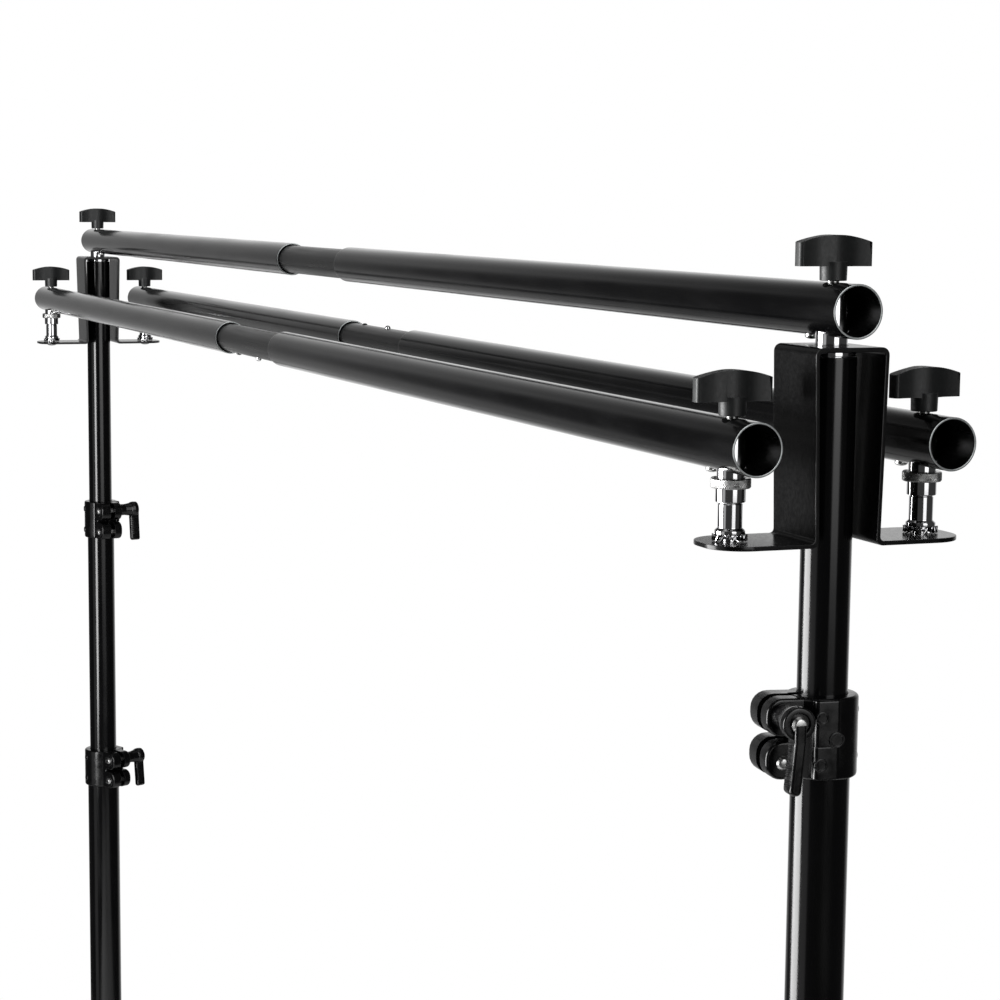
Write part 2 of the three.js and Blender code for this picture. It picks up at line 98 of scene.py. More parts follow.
# ---- mesh tools ----
def round_off(corners, steps=4):
    """Closed outline with arcs for corners, from (x, y) or (x, y, radius) corners."""
    points = []
    for i, (x, y, *radius) in enumerate(corners):
        here = Vector((x, y))
        if not radius or radius[0] <= 0:
            points.append(here)
            continue
        back = (Vector(corners[i - 1][:2]) - here).normalized()
        ahead = (Vector(corners[(i + 1) % len(corners)][:2]) - here).normalized()
        half = back.angle(ahead) / 2
        centre = here + (back + ahead).normalized() * radius[0] / math.sin(half)
        first = here + back * radius[0] / math.tan(half) - centre
        last = here + ahead * radius[0] / math.tan(half) - centre
        start = math.atan2(first.y, first.x)
        sweep = (math.atan2(last.y, last.x) - start + math.pi) % math.tau - math.pi
        for k in range(steps + 1):
            turn = start + sweep * k / steps
            points.append(centre + radius[0] * Vector((math.cos(turn), math.sin(turn))))
    return points


def lathe(profile, segments=64, closed=False, ripple=None):
    """Solid of revolution about Z from (radius, z) points; ripple changes a radius by its place."""
    bm = bmesh.new()
    rings = []
    for radius, z in profile:
        if radius < TINY:
            rings.append([bm.verts.new((0, 0, z * MM))])
            continue
        ring = []
        for k in range(segments):
            turn = math.tau * k / segments
            r = radius + (ripple(turn, z, radius) if ripple else 0)
            ring.append(bm.verts.new(Vector((r * math.cos(turn), r * math.sin(turn), z)) * MM))
        rings.append(ring)
    pairs = list(zip(rings, rings[1:])) + ([(rings[-1], rings[0])] if closed else [])
    for low, high in pairs:
        for k in range(segments):
            n = (k + 1) % segments
            face = [low[k % len(low)], low[n % len(low)], high[n % len(high)], high[k % len(high)]]
            face = list(dict.fromkeys(face))
            if len(face) > 2:
                bm.faces.new(face)
    bmesh.ops.recalc_face_normals(bm, faces=bm.faces)
    return bm


def pipe(radius, wall, low, high, stations=(), segments=96, lip=0.4):
    """Tube along Z with softened rims; stations are extra rings where something is cut in."""
    inside = radius - wall
    rings = (low + 4 * lip, *stations, high - 4 * lip)
    outer = [(radius, z) for z in rings]
    inner = [(inside, z) for z in reversed(rings)]
    rim = [(inside, low, lip), (radius, low, lip), *outer, (radius, high, lip), (inside, high, lip), *inner]
    return lathe([tuple(p) for p in round_off(rim, 2)], segments, closed=True)


def prism(outline, low, high, edge=0.0, steps=2):
    """Outline in X and Y pushed up from low to high, with its two rims rounded by edge."""
    count = len(outline)
    area = sum(a.x * b.y - b.x * a.y for a, b in zip(outline, outline[1:] + outline[:1]))
    normals = []
    for i, here in enumerate(outline):
        one = (here - outline[i - 1]).normalized()
        two = (outline[(i + 1) % count] - here).normalized()
        across = (one + two).normalized()
        normal = Vector((across.y, -across.x)) * (1 if area > 0 else -1)
        normals.append(normal / max(0.5, abs(across.dot(one))))
    levels = [(0, low), (0, high)]
    if edge:
        arc = [math.pi / 2 * k / steps for k in range(steps + 1)]
        levels = [(edge * (1 - math.sin(a)), low + edge * (1 - math.cos(a))) for a in arc]
        levels += [(edge * (1 - math.sin(a)), high - edge * (1 - math.cos(a))) for a in reversed(arc)]
    bm = bmesh.new()
    rings = []
    for inset, z in levels:
        flat = [p - n * inset for p, n in zip(outline, normals)]
        rings.append([bm.verts.new(Vector((p.x, p.y, z)) * MM) for p in flat])
    bm.faces.new(rings[0])
    bm.faces.new(rings[-1])
    for one, two in zip(rings, rings[1:]):
        for k in range(count):
            n = (k + 1) % count
            bm.faces.new((one[k], one[n], two[n], two[k]))
    bmesh.ops.recalc_face_normals(bm, faces=bm.faces)
    return bm


def aim(origin, along, up=(0, 0, 1)):
    """Matrix that puts local Z along a direction and local X towards up, at a place in mm."""
    z = Vector(along).normalized()
    x = (Vector(up) - z * Vector(up).dot(z)).normalized()
    turn = Matrix((x, z.cross(x), z)).transposed().to_4x4()
    return Matrix.Translation(Vector(origin) * MM) @ turn


def moved(bm, matrix):
    """The mesh itself, after the matrix."""
    bm.transform(matrix)
    return bm


def along_x(outline, x0, x1, edge=0.0, steps=2):
    """Outline in Y and Z pushed along X from x0 to x1."""
    axes = Matrix(((0, 0, 1, 0), (1, 0, 0, 0), (0, 1, 0, 0), (0, 0, 0, 1)))
    return moved(prism(outline, x0, x1, edge, steps), axes)


def rod(radius, start, end, segments=32):
    """Plain cylinder between two points."""
    span = Vector(end) - Vector(start)
    up = (1, 0, 0) if abs(span.x) < 0.9 * span.length else (0, 0, 1)
    profile = [(0, 0), (radius, 0), (radius, span.length), (0, span.length)]
    return moved(lathe(profile, segments), aim(start, span, up))


def block(x0, x1, y0, y1, z0, z1):
    """Plain box."""
    return prism([Vector(p) for p in ((x0, y0), (x1, y0), (x1, y1), (x0, y1))], z0, z1)


def linked(name, data):
    """New object in the scene."""
    obj = bpy.data.objects.new(name, data)
    bpy.context.collection.objects.link(obj)
    return obj


def at(x, y, z):
    """Shift to a place in mm."""
    return Matrix.Translation((x * MM, y * MM, z * MM))


def spun(degrees):
    """Turn about Z."""
    return Matrix.Rotation(math.radians(degrees), 4, "Z")


def bench(bm):
    """Temporary object that holds a mesh while modifiers work on it."""
    mesh = bpy.data.meshes.new("bench")
    bm.to_mesh(mesh)
    bm.free()
    return linked("bench", mesh)


def combine(base, *steps):
    """Exact booleans in turn, from ("UNION" or "DIFFERENCE" or "INTERSECT", mesh) steps."""
    body = bench(base)
    tools = []
    for operation, tool in steps:
        tools.append(bench(tool))
        step = body.modifiers.new(operation, "BOOLEAN")
        step.operation = operation
        step.solver = "EXACT"
        step.object = tools[-1]
    graph = bpy.context.evaluated_depsgraph_get()
    made = bmesh.new()
    made.from_mesh(body.evaluated_get(graph).to_mesh())
    for obj in [body, *tools]:
        mesh = obj.data
        bpy.data.objects.remove(obj)
        bpy.data.meshes.remove(mesh)
    bmesh.ops.remove_doubles(made, verts=made.verts, dist=TINY)
    bmesh.ops.dissolve_degenerate(made, edges=made.edges, dist=TINY)
    return made


def turned(corners, segments=64, steps=3):
    """Lathe from an axis-to-axis profile whose corners may carry a radius."""
    return lathe([tuple(p) for p in round_off(corners, steps)], segments)


def soften(bm, width, segments=2, angle=35):
    """Rounds the sharp edges of a mesh."""
    edges = [e for e in bm.edges if len(e.link_faces) == 2 and e.calc_face_angle(0) > math.radians(angle)]
    bmesh.ops.bevel(bm, geom=edges, offset=width * MM, segments=segments, profile=0.5,
                    affect="EDGES", clamp_overlap=True)
    return bm


def finished(bm, *materials, smooth=32, rule=None):
    """Mesh with smooth shading up to an angle; rule picks each face's material by number."""
    mesh = bpy.data.meshes.new(materials[0].name)
    if rule:
        for face in bm.faces:
            face.material_index = rule(face.calc_center_median() / MM, face.normal)
    bm.to_mesh(mesh)
    bm.free()
    for material in materials:
        mesh.materials.append(material)
    mesh.shade_smooth()
    mesh.set_sharp_from_angle(angle=math.radians(smooth))
    return weighted(mesh)


def weighted(mesh):
    """The mesh with normals that follow its large faces, so that flat ground stays flat."""
    obj = linked("bench", mesh)
    step = obj.modifiers.new("normals", "WEIGHTED_NORMAL")
    step.keep_sharp = True
    graph = bpy.context.evaluated_depsgraph_get()
    made = bpy.data.meshes.new_from_object(obj.evaluated_get(graph))
    bpy.data.objects.remove(obj)
    bpy.data.meshes.remove(mesh)
    return made


def piece(name, mesh, place, body, slot, *replaced):
    """Shown piece: it rides on a body and stands for the CAD nodes in replaced."""
    obj = linked(name, mesh)
    obj.matrix_world = place
    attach(obj, body)
    if replaced:
        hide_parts(*replaced)
    return obj


# ---- materials ----
class Surface:
    """Principled material with procedural inputs in the object's own coordinates."""

    def __init__(self, name, roughness, metallic=0.0):
        self.material = bpy.data.materials.new(name)
        self.material.use_nodes = True
        tree = self.material.node_tree
        self.nodes, self.links = tree.nodes, tree.links
        self.shader = self.nodes["Principled BSDF"]
        self.shader.inputs["Metallic"].default_value = metallic
        self.shader.inputs["Roughness"].default_value = roughness
        self.place = self.nodes.new("ShaderNodeTexCoord").outputs["Object"]
        self.normal = None

    def grain(self, scale, detail=3.0, stretch=(1, 1, 1)):
        """Noise from 0 to 1; scale is in cells per metre."""
        mapping = self.nodes.new("ShaderNodeMapping")
        mapping.inputs["Scale"].default_value = stretch
        self.links.new(self.place, mapping.inputs["Vector"])
        noise = self.nodes.new("ShaderNodeTexNoise")
        noise.inputs["Scale"].default_value = scale
        noise.inputs["Detail"].default_value = detail
        self.links.new(mapping.outputs["Vector"], noise.inputs["Vector"])
        return noise.outputs["Fac"]

    def cells(self, scale):
        """Distance to the nearest cell's middle; scale is in cells per metre."""
        voronoi = self.nodes.new("ShaderNodeTexVoronoi")
        voronoi.inputs["Scale"].default_value = scale
        self.links.new(self.place, voronoi.inputs["Vector"])
        return voronoi.outputs["Distance"]

    def spread(self, value, low, high, start=0.3, stop=0.7):
        """Value between start and stop, stretched to run from low to high."""
        ramp = self.nodes.new("ShaderNodeMapRange")
        for socket, number in (("From Min", start), ("From Max", stop), ("To Min", low), ("To Max", high)):
            ramp.inputs[socket].default_value = number
        self.links.new(value, ramp.inputs["Value"])
        return ramp.outputs["Result"]

    def colour(self, value, dark, light):
        """Base colour from dark where the value is 0 to light where it is 1."""
        ramp = self.nodes.new("ShaderNodeMix")
        ramp.data_type = "RGBA"
        ramp.inputs["A"].default_value = (*dark, 1)
        ramp.inputs["B"].default_value = (*light, 1)
        self.links.new(value, ramp.inputs["Factor"])
        self.to("Base Color", ramp.outputs["Result"])

    def edges(self, radius):
        """Mask for a painted edge highlight: 1 along convex and concave edges and 0 on flat ground, from a
        rounded normal.
        """
        bevel = self.nodes.new("ShaderNodeBevel")
        bevel.inputs["Radius"].default_value = radius * MM
        bevel.samples = 4
        shape = self.nodes.new("ShaderNodeNewGeometry")
        match = self.nodes.new("ShaderNodeVectorMath")
        match.operation = "DOT_PRODUCT"
        self.links.new(bevel.outputs["Normal"], match.inputs[0])
        self.links.new(shape.outputs["Normal"], match.inputs[1])
        return self.spread(match.outputs["Value"], 1, 0, 0.86, 0.99)

    def bump(self, value, height, strength=1.0):
        """Adds relief of a height in mm to the relief so far."""
        bump = self.nodes.new("ShaderNodeBump")
        bump.inputs["Strength"].default_value = strength
        bump.inputs["Distance"].default_value = height * MM
        self.links.new(value, bump.inputs["Height"])
        if self.normal:
            self.links.new(self.normal, bump.inputs["Normal"])
        self.normal = bump.outputs["Normal"]

    def to(self, socket, value):
        """Joins a value to an input of the shader."""
        self.links.new(value, self.shader.inputs[socket])

    def done(self):
        if self.normal:
            self.to("Normal", self.normal)
        return self.material


def gloss_paint():
    s = Surface("gloss_black_paint", 0.16)
    s.colour(s.grain(40), (0.001, 0.001, 0.0012), (0.0025, 0.0025, 0.0028))
    s.to("Roughness", s.spread(s.grain(60, 4, (1, 1, 0.15)), 0.10, 0.2))
    s.bump(s.grain(420, 2), 0.02, 0.25)
    s.bump(s.grain(900, 4, (1, 1, 0.04)), 0.006, 0.2)
    return s.done()


def satin_tube():
    s = Surface("satin_black_tube", 0.3)
    s.colour(s.grain(50), (0.001, 0.001, 0.0011), (0.0026, 0.0026, 0.0028))
    s.to("Roughness", s.spread(s.grain(150, 5, (1, 1, 0.03)), 0.24, 0.38))
    s.bump(s.grain(700, 4, (1, 1, 0.03)), 0.01, 0.3)
    return s.done()


def bracket_coat():
    s = Surface("satin_powder_coat", 0.22)
    s.shader.inputs["Specular IOR Level"].default_value = 0.35
    # Base colour lighter along the bends and edges: a painted edge highlight.
    s.colour(s.edges(0.6), (0.0016, 0.0016, 0.0018), (0.03, 0.03, 0.032))
    s.to("Roughness", s.spread(s.grain(400, 5), 0.2, 0.25))
    s.bump(s.grain(1500, 2), 0.02, 0.25)
    s.bump(s.cells(700), 0.01, 0.1)
    return s.done()


def cast_coat():
    s = Surface("gloss_cast_paint", 0.2)
    # Base colour lighter along the edges: a painted edge highlight.
    s.colour(s.edges(0.8), (0.0012, 0.0012, 0.0014), (0.03, 0.03, 0.032))
    s.to("Roughness", s.spread(s.grain(120, 4), 0.15, 0.3))
    s.bump(s.grain(160, 3), 0.12, 0.25)
    s.bump(s.grain(900, 2), 0.015, 0.25)
    return s.done()


def knob_plastic():
    s = Surface("textured_knob_plastic", 0.5)
    # Base colour lighter along the edges: a painted rim highlight.
    s.colour(s.edges(0.9), (0.012, 0.013, 0.0132), (0.034, 0.036, 0.037))
    s.to("Roughness", s.spread(s.grain(500, 3), 0.36, 0.5))
    s.bump(s.cells(1500), 0.05, 0.3)
    s.bump(s.grain(2200, 2), 0.03, 0.4)
    return s.done()


def chrome():
    s = Surface("polished_chrome", 0.06, 1.0)
    s.colour(s.grain(70), (0.70, 0.70, 0.715), (0.84, 0.84, 0.85))
    s.to("Roughness", s.spread(s.grain(240, 4), 0.03, 0.11))
    s.bump(s.grain(300, 3, (1, 1, 4)), 0.012, 0.25)
    return s.done()


def zinc():
    s = Surface("zinc_plate", 0.25, 1.0)
    s.colour(s.grain(300), (0.42, 0.42, 0.42), (0.62, 0.62, 0.61))
    s.to("Roughness", s.spread(s.grain(500, 4), 0.2, 0.36))
    s.bump(s.grain(900, 3), 0.02, 0.3)
    return s.done()


def bare_steel():
    """Cut rims of the tubes, where the paint is thin."""
    s = Surface("cut_steel_rim", 0.35, 1.0)
    s.colour(s.grain(600), (0.34, 0.36, 0.36), (0.50, 0.52, 0.52))
    s.to("Roughness", s.spread(s.grain(900, 4), 0.28, 0.45))
    s.bump(s.grain(1200, 3), 0.01, 0.3)
    return s.done()


def inner_wall():
    s = Surface("dark_inner_wall", 0.3)
    s.colour(s.grain(200), (0.001, 0.001, 0.001), (0.003, 0.003, 0.003))
    s.to("Roughness", s.spread(s.grain(90, 4, (1, 1, 0.1)), 0.22, 0.4))
    return s.done()


def rubber():
    s = Surface("black_rubber", 0.75)
    s.colour(s.grain(300), (0.014, 0.014, 0.014), (0.026, 0.026, 0.026))
    s.to("Roughness", s.spread(s.grain(700, 3), 0.65, 0.85))
    s.bump(s.grain(1800, 3), 0.04, 0.4)
    return s.done()


PAINT, TUBE_SATIN, COAT, CAST = gloss_paint(), satin_tube(), bracket_coat(), cast_coat()
PLASTIC, CHROME, ZINC, STEEL, INNER, RUBBER = (
    knob_plastic(), chrome(), zinc(), bare_steel(), inner_wall(), rubber())


# ---- camera, light and floor ----
def camera():
    """Camera of the view, looking along -X and a little along +Y."""
    yaw, pitch, roll = 0.369, 0.1299, 0.0098
    place = (2.5311, -0.7722, 1.8687)
    data = bpy.data.cameras.new("camera")
    data.lens, data.sensor_width = 89.494, 36
    data.shift_y = 0.0227
    data.clip_start, data.clip_end = 0.05, 200
    cam = linked("camera", data)
    forward = Vector((-math.cos(yaw) * math.cos(pitch), math.sin(yaw) * math.cos(pitch), -math.sin(pitch)))
    level = forward.cross(Vector((0, 0, 1))).normalized()
    above = level.cross(forward)
    right = math.cos(roll) * level + math.sin(roll) * above
    upward = right.cross(forward)
    cam.matrix_world = Matrix.Translation(place) @ Matrix(
        (right, upward, -forward)).transposed().to_4x4()
    bpy.context.scene.camera = cam


class Sky:
    """World light as soft panels round the object; a camera ray sees plain white."""

    def __init__(self):
        world = bpy.data.worlds.new("studio")
        world.use_nodes = True
        bpy.context.scene.world = world
        self.nodes, self.links = world.node_tree.nodes, world.node_tree.links
        self.direction = self.nodes.new("ShaderNodeTexCoord").outputs["Generated"]
        flat = self.vector("MULTIPLY", self.direction, (1, 1, 0))
        self.level = self.vector("NORMALIZE", flat, (0, 0, 0))
        split = self.nodes.new("ShaderNodeSeparateXYZ")
        self.links.new(self.direction, split.inputs[0])
        self.height = split.outputs["Z"]
        self.total = None

    def vector(self, operation, value, constant):
        node = self.nodes.new("ShaderNodeVectorMath")
        node.operation = operation
        self.links.new(value, node.inputs[0])
        node.inputs[1].default_value = constant
        return node.outputs["Value" if operation == "DOT_PRODUCT" else "Vector"]

    def ramp(self, value, start, stop, low=0.0, high=1.0):
        node = self.nodes.new("ShaderNodeMapRange")
        node.interpolation_type = "SMOOTHSTEP"
        for socket, number in (("From Min", start), ("From Max", stop), ("To Min", low), ("To Max", high)):
            node.inputs[socket].default_value = number
        self.links.new(value, node.inputs["Value"])
        return node.outputs["Result"]

    def maths(self, operation, one, two):
        node = self.nodes.new("ShaderNodeMath")
        node.operation = operation
        for socket, value in zip(node.inputs, (one, two)):
            if isinstance(value, (int, float)):
                socket.default_value = value
            else:
                self.links.new(value, socket)
        return node.outputs[0]

    def add(self, light):
        self.total = light if self.total is None else self.maths("ADD", self.total, light)

    def panel(self, azimuth, inner, outer, low, high, strength, soft=8):
        """Upright panel: full to inner degrees off its azimuth, gone at outer, between two heights."""
        a = math.radians(azimuth)
        facing = self.vector("DOT_PRODUCT", self.level, (math.cos(a), math.sin(a), 0))
        wide = self.ramp(facing, math.cos(math.radians(outer)), math.cos(math.radians(inner)))
        sine = [math.sin(math.radians(d)) for d in (low - soft, low, high, high + soft)]
        bottom = self.ramp(self.height, sine[0], sine[1])
        top = self.ramp(self.height, sine[2], sine[3], 1, 0)
        shape = self.maths("MULTIPLY", wide, self.maths("MULTIPLY", bottom, top))
        self.add(self.maths("MULTIPLY", shape, strength))

    def ceiling(self, low, high, strength):
        """Light overhead, from none at low degrees up to full at high."""
        sine = [math.sin(math.radians(d)) for d in (low, high)]
        self.add(self.ramp(self.height, sine[0], sine[1], 0, strength))

    def done(self, ambient):
        """Joins the panels and the ambient light to the world, and hides them from the camera."""
        light = self.nodes["Background"]
        self.links.new(self.maths("ADD", self.total, ambient), light.inputs["Strength"])
        light.inputs["Color"].default_value = (1, 1, 1, 1)
        white = self.nodes.new("ShaderNodeBackground")
        white.inputs["Color"].default_value = (1, 1, 1, 1)
        seen = self.nodes.new("ShaderNodeLightPath").outputs["Is Camera Ray"]
        mix = self.nodes.new("ShaderNodeMixShader")
        self.links.new(seen, mix.inputs["Fac"])
        self.links.new(light.outputs[0], mix.inputs[1])
        self.links.new(white.outputs[0], mix.inputs[2])
        self.links.new(mix.outputs[0], self.nodes["World Output"].inputs["Surface"])


def softbox():
    """Large soft light in front of the middle of the system, seen as a stripe down the stands."""
    radiance = 13.0
    data = bpy.data.lights.new("softbox", "AREA")
    data.shape = "RECTANGLE"
    data.size, data.size_y = 1.2, 1.5
    data.energy = radiance * math.pi * data.size * data.size_y
    place, target = Vector((0.25, -1.7, 1.4)), Vector((0.9, 0, 1.4))
    turn = (place - target).to_track_quat("Z", "Y").to_matrix().to_4x4()
    linked("softbox", data).matrix_world = Matrix.Translation(place) @ turn


def floor_sheet():
    """Plain pale floor, just under the feet."""
    half_x, half_y, drop = 2.6, 1.5, 0.0002
    mesh = bpy.data.meshes.new("floor")
    mesh.from_pydata([(x * half_x, y * half_y, 0) for x, y in CORNERS], [], [(0, 1, 2, 3)])
    s = Surface("pale_floor", 0.6)
    s.colour(s.grain(3), (0.86, 0.86, 0.86), (0.9, 0.9, 0.9))
    mesh.materials.append(s.done())
    floor = linked("floor", mesh)
    floor.location.z = -drop


def studio():
    """Panels past the far end, behind the camera and at its left, a ceiling and the softbox."""
    sky = Sky()
    sky.panel(azimuth=150, inner=0, outer=42, low=-10, high=10, strength=0.7, soft=24)
    sky.panel(azimuth=150, inner=44, outer=51, low=-10, high=10, strength=0.3, soft=24)
    sky.panel(azimuth=8, inner=12, outer=18, low=-2, high=45, strength=2.4, soft=10)
    sky.panel(azimuth=-79, inner=9, outer=15, low=-25, high=35, strength=0.38)
    sky.ceiling(low=60, high=80, strength=0.5)
    sky.done(ambient=0.04)
    softbox()
    floor_sheet()
    bpy.context.scene.view_settings.view_transform = "Standard"


# ---- crossbars ----
def tube_faces(radius, wall, low, high, bare=0):
    """Rule for a tube's faces: 0 outside, 1 rims and the bare length inside the low end, 2 inside."""
    rim_depth, facing = 1, 0.6

    def rule(centre, normal):
        if abs(normal.z) > facing and (centre.z < low + rim_depth or centre.z > high - rim_depth):
            return 1
        if math.hypot(centre.x, centre.y) > radius - wall / 2:
            return 0
        return 1 if centre.z < low + bare else 2
    return rule


def outer_tube(overhang, neck):
    """Along Z from its inner end, with the stud's hole below (-X) and the bolt's above (+X)."""
    length = STAND_X + overhang - EXPOSED / 2
    hole = length - overhang
    tube = pipe(BAR_RADIUS, BAR_WALL, 0, length, (BARE_END, hole - HOLE_MARGIN, hole + HOLE_MARGIN))
    stud_hole = rod(neck + GAP, (-BAR_RADIUS - PAST, 0, hole), (0, 0, hole), 48)
    bolt_hole = rod(BOLT_HOLE, (0, 0, hole), (BAR_RADIUS + PAST, 0, hole))
    bm = combine(tube, ("DIFFERENCE", stud_hole), ("DIFFERENCE", bolt_hole))
    return finished(bm, PAINT, STEEL, INNER, rule=tube_faces(BAR_RADIUS, BAR_WALL, 0, length, BARE_END))


def plain_tube(radius, wall, low, high, coat=PAINT):
    """Tube along Z between two heights."""
    return finished(pipe(radius, wall, low, high), coat, STEEL, INNER,
                    rule=tube_faces(radius, wall, low, high))


def dome(radius, height, skirt=0.6, hollow=0.0):
    """Profile of a domed button: a short skirt and a round crown, with an optional dimple on top."""
    steps, root = 8, 2
    angles = [math.pi / 2 * k / steps for k in range(steps)]
    crown = [(radius * math.cos(a), skirt + height * math.sin(a)) for a in angles]
    lip = [(radius * 0.35, skirt + height * 0.93)] if hollow else []
    return [(0, -root), (radius, -root), *crown, *lip, (0, skirt + height - hollow)]


def knob_handle():
    """Arched cross handle along Y: thick at the hub, with a waist in each wing and rounded ends."""
    half, hub, waist, end = KNOB_WIDTH / 2, 6.9, 4.3, 5.3
    crown, low_end, waist_at = 20, 15, 0.55
    arch = [Vector((-half, KNOB_UNDER)), Vector((half, KNOB_UNDER))]
    steps = 24
    for k in range(steps + 1):
        t = 1 - 2 * k / steps
        arch.append(Vector((half * t, KNOB_UNDER + crown - (crown - low_end) * t * t)))
    near = [(end, -half, 3)]
    for k in range(1, steps):
        t = 2 * k / steps - 1
        share = min(abs(t) / waist_at, 1)
        flare = max((abs(t) - waist_at) / (1 - waist_at), 0)
        thick = waist + (hub - waist) * math.cos(share * math.pi / 2) ** 2 + (end - waist) * flare ** 2
        near.append((thick, half * t))
    near.append((end, half, 3))
    plan = round_off(near + [(-x, -y, *radius) for x, y, *radius in near], 6)
    slab = along_x(arch, -hub - PAST, hub + PAST)
    shape = prism(plan, KNOB_UNDER - PAST, KNOB_UNDER + crown + PAST)
    return soften(combine(slab, ("INTERSECT", shape)), 1.2, 3, 50)


def knob_meshes():
    """Grip with its hub, and the threaded bolt under it, both along Z from the bar's axis."""
    foot, top = BAR_RADIUS + 0.9, KNOB_UNDER + 3
    hub = turned([(0, foot), (HUB_RADIUS, foot, 0.6), (HUB_RADIUS + 0.3, top), (0, top)])
    grip = combine(knob_handle(), ("UNION", hub))
    pitch, root = 1.0, 3.5
    threads = []
    for k in range(1, int(BAR_RADIUS / pitch) + 1):
        threads += [(root, k * pitch), (BOLT_RADIUS, (k + 0.5) * pitch)]
    end = BAR_RADIUS + 3
    bolt = lathe([(0, 0), (root - 0.3, 0), *threads, (root + 0.3, end), (0, end)], 32)
    return finished(grip, PLASTIC, smooth=40), finished(bolt, ZINC, smooth=60)


def crossbars():
    """Three bars: an outer tube, knob and rivet at each end, and a connector with two buttons."""
    knob, bolt = knob_meshes()
    half = EXPOSED / 2 + INSERTION
    connector = plain_tube(CONNECTOR_RADIUS, CONNECTOR_WALL, -half, half, TUBE_SATIN)
    buttons = {"snap_button": finished(lathe(dome(3.1, 3.0), 32), CHROME, smooth=60),
               "stop_button": finished(lathe(dome(2.8, 1.4), 32), TUBE_SATIN, smooth=60)}
    rivet = finished(lathe(dome(4.4, 2.2, 0.8, 0.9), 40), ZINC, smooth=40)
    for name, bar in BARS.items():
        tube = outer_tube(bar["overhang"], bar["neck"])
        middle = Vector((0, bar["y"], bar["z"]))
        for end, side in SIDES.items():
            head, body = f"{end}_head", f"{name}_bar_{end}_knob"
            start = middle + Vector((side * EXPOSED / 2, 0, 0))
            piece(f"{name}_bar_{end}_tube_shell", tube, aim(start, (side, 0, 0)), head,
                  "gloss_black", f"{name}_bar_{end}_tube")
            stud = middle + Vector((side * STAND_X, 0, 0))
            upright = at(*stud) @ spun(KNOB_TURN[end][name])
            piece(f"{body}_grip", knob, upright, body, "knob_plastic", body)
            piece(f"{body}_bolt", bolt, upright, body, "chrome")
            below = stud + Vector((-side * RIVET_INBOARD, 0, -BAR_RADIUS + 0.2))
            piece(f"{name}_bar_{end}_rivet", rivet, aim(below, (0, 0, -1), (1, 0, 0)), head, "chrome")
        body = f"{name}_connector"
        piece(f"{name}_bar_connector_shell", connector, aim(middle, (1, 0, 0)), body,
              "tube_satin", f"{name}_bar_connector")
        turn = math.radians(bar["button_turn"])
        out = Vector((0, -math.sin(turn), math.cos(turn)))
        for label, x in BUTTONS_X.items():
            seat = middle + out * (CONNECTOR_RADIUS - 0.5) + Vector((x, 0, 0))
            piece(f"{name}_bar_{label}", buttons[label], aim(seat, out, (1, 0, 0)), body, "chrome")


# ---- bracket, spigot and studs ----
def bracket_mesh():
    """One folded sheet: a top plate, two leaning wings and two tabs with rounded ends."""
    half, foot, reach, low = HAT_HALF, HAT_HALF - HAT_LEAN, HAT_REACH, TAB_TOP
    bend, inner_bend, corner = 5, 3, 24
    profile = round_off([
        (-reach, HAT_BOTTOM), (-foot + PLATE, HAT_BOTTOM, bend),
        (-half + PLATE, HAT_TOP - PLATE, inner_bend), (half - PLATE, HAT_TOP - PLATE, inner_bend),
        (foot - PLATE, HAT_BOTTOM, bend), (reach, HAT_BOTTOM), (reach, low), (foot, low, inner_bend),
        (half, HAT_TOP, bend), (-half, HAT_TOP, bend), (-foot, low, inner_bend), (-reach, low)], 6)
    side = HAT_LENGTH / 2
    plan = round_off([(x * side, y * reach, corner) for x, y in CORNERS], 12)
    spigot_hole = rod(SPIGOT["neck"] + GAP, (0, 0, HAT_TOP - 8), (0, 0, HAT_TOP + PAST), 48)
    tenon = STUD["tenon"] + GAP
    holes = [rod(tenon, (0, y, HAT_BOTTOM - 4), (0, y, low + 4)) for y in (-SIDE_Y, SIDE_Y)]
    bm = combine(along_x(profile, -side, side),
                 ("INTERSECT", prism(plan, HAT_BOTTOM - PAST, HAT_TOP + PAST)),
                 ("DIFFERENCE", spigot_hole), *[("DIFFERENCE", hole) for hole in holes])
    return finished(soften(bm, 0.55, 2, 50), COAT, smooth=35)


def spigot_mesh():
    """Plug in the top tube, flange ring under the bracket's plate, and neck up into the top bar."""
    plug, flange, neck, low = SPIGOT["plug"], SPIGOT["flange"], SPIGOT["neck"], SPIGOT["low"]
    seat = TUBES["top"]["high"] + GAP
    under = HAT_TOP - PLATE - GAP
    tip = BARS["top"]["z"] + 11.2
    return finished(turned([
        (0, low), (plug, low, 1), (plug, seat), (flange, seat, 0.6), (flange, under, 0.8),
        (neck, under), (neck, tip, 1), (0, tip)], 72), CHROME)


def stud_mesh():
    """Tenon through the tab, foot, shank, groove, sleeve and neck up into a side bar."""
    tenon, foot, shank, sleeve, neck = (STUD[k] for k in ("tenon", "foot", "shank", "sleeve", "neck"))
    groove = shank - 0.5
    seat, ring = TAB_TOP + GAP, STUD_RING_Z
    tip = SIDE_Z + 12.1
    return finished(turned([
        (0, HAT_BOTTOM - 1), (tenon, HAT_BOTTOM - 1), (tenon, seat + 4.2), (foot, seat + 4.2, 0.5),
        (foot, seat + 6.8, 0.9), (shank, seat + 8.4, 0.6), (shank, ring - 10.4, 0.5),
        (groove, ring - 9.8, 0.3), (groove, ring - 9.2, 0.2), (sleeve, ring - 9, 0.6),
        (sleeve, ring - 0.2, 0.4), (neck, ring), (neck, tip, 1), (0, tip)], 72), CHROME)


def knurl(turn, z, radius):
    """Diamond knurling on the outer face of the stud's ring."""
    if radius < STUD["ring"] - 0.5:
        return 0
    lines, rise, depth = 60, 1.6, 0.3
    one = abs(math.sin((turn * lines + z * math.tau / rise) / 2))
    two = abs(math.sin((turn * lines - z * math.tau / rise) / 2))
    return -depth * (1 - min(one, two)) ** 2


